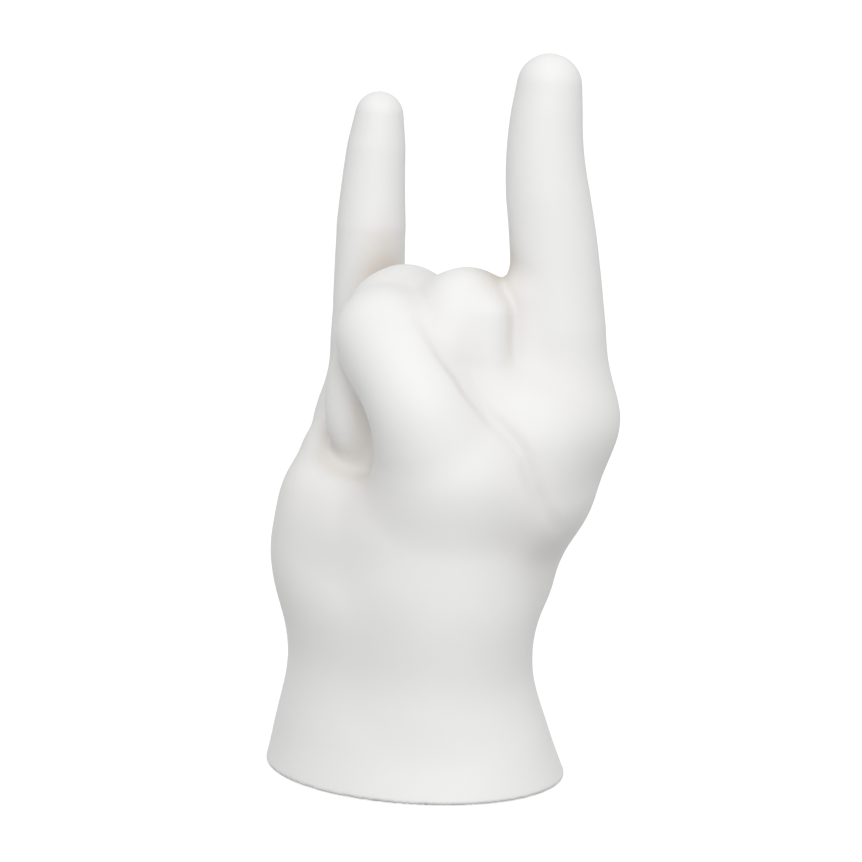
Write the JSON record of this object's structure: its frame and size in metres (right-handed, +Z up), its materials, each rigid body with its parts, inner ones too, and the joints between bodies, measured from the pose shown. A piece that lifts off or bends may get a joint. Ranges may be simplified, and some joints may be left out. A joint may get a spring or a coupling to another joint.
{
  "type": "hand sculpture",
  "caption": "Life-size cast sculpture of a right hand, index and little fingers raised, the others curled under the thumb, standing on its flared wrist.",
  "frame": {"origin": "middle of the felt pad's underside, the face that rests on the table, under the centre of the oval foot", "axes": "+Z up along the forearm, palm towards -Y, thumb side towards +X"},
  "size_m": [0.1056, 0.0847, 0.2172],
  "materials": {
    "cast_resin": "smooth, matte, near-white",
    "rod_steel": "drawn",
    "fibreboard": "sanded",
    "rubber": "matt",
    "mortar": "poured",
    "felt": "pressed wool"
  },
  "bodies": {
    "root": {"hand_casting": "cast_resin", "thumb": "cast_resin", "thumb_rod": "rod_steel", "index_finger": "cast_resin", "index_finger_rod": "rod_steel", "middle_finger": "cast_resin", "middle_finger_rod": "rod_steel", "ring_finger": "cast_resin", "ring_finger_rod": "rod_steel", "little_finger": "cast_resin", "little_finger_rod": "rod_steel", "base_disc": "fibreboard", "filler_bung": "rubber", "ballast": "mortar", "felt_pad": "felt"}
  },
  "joints": []
}
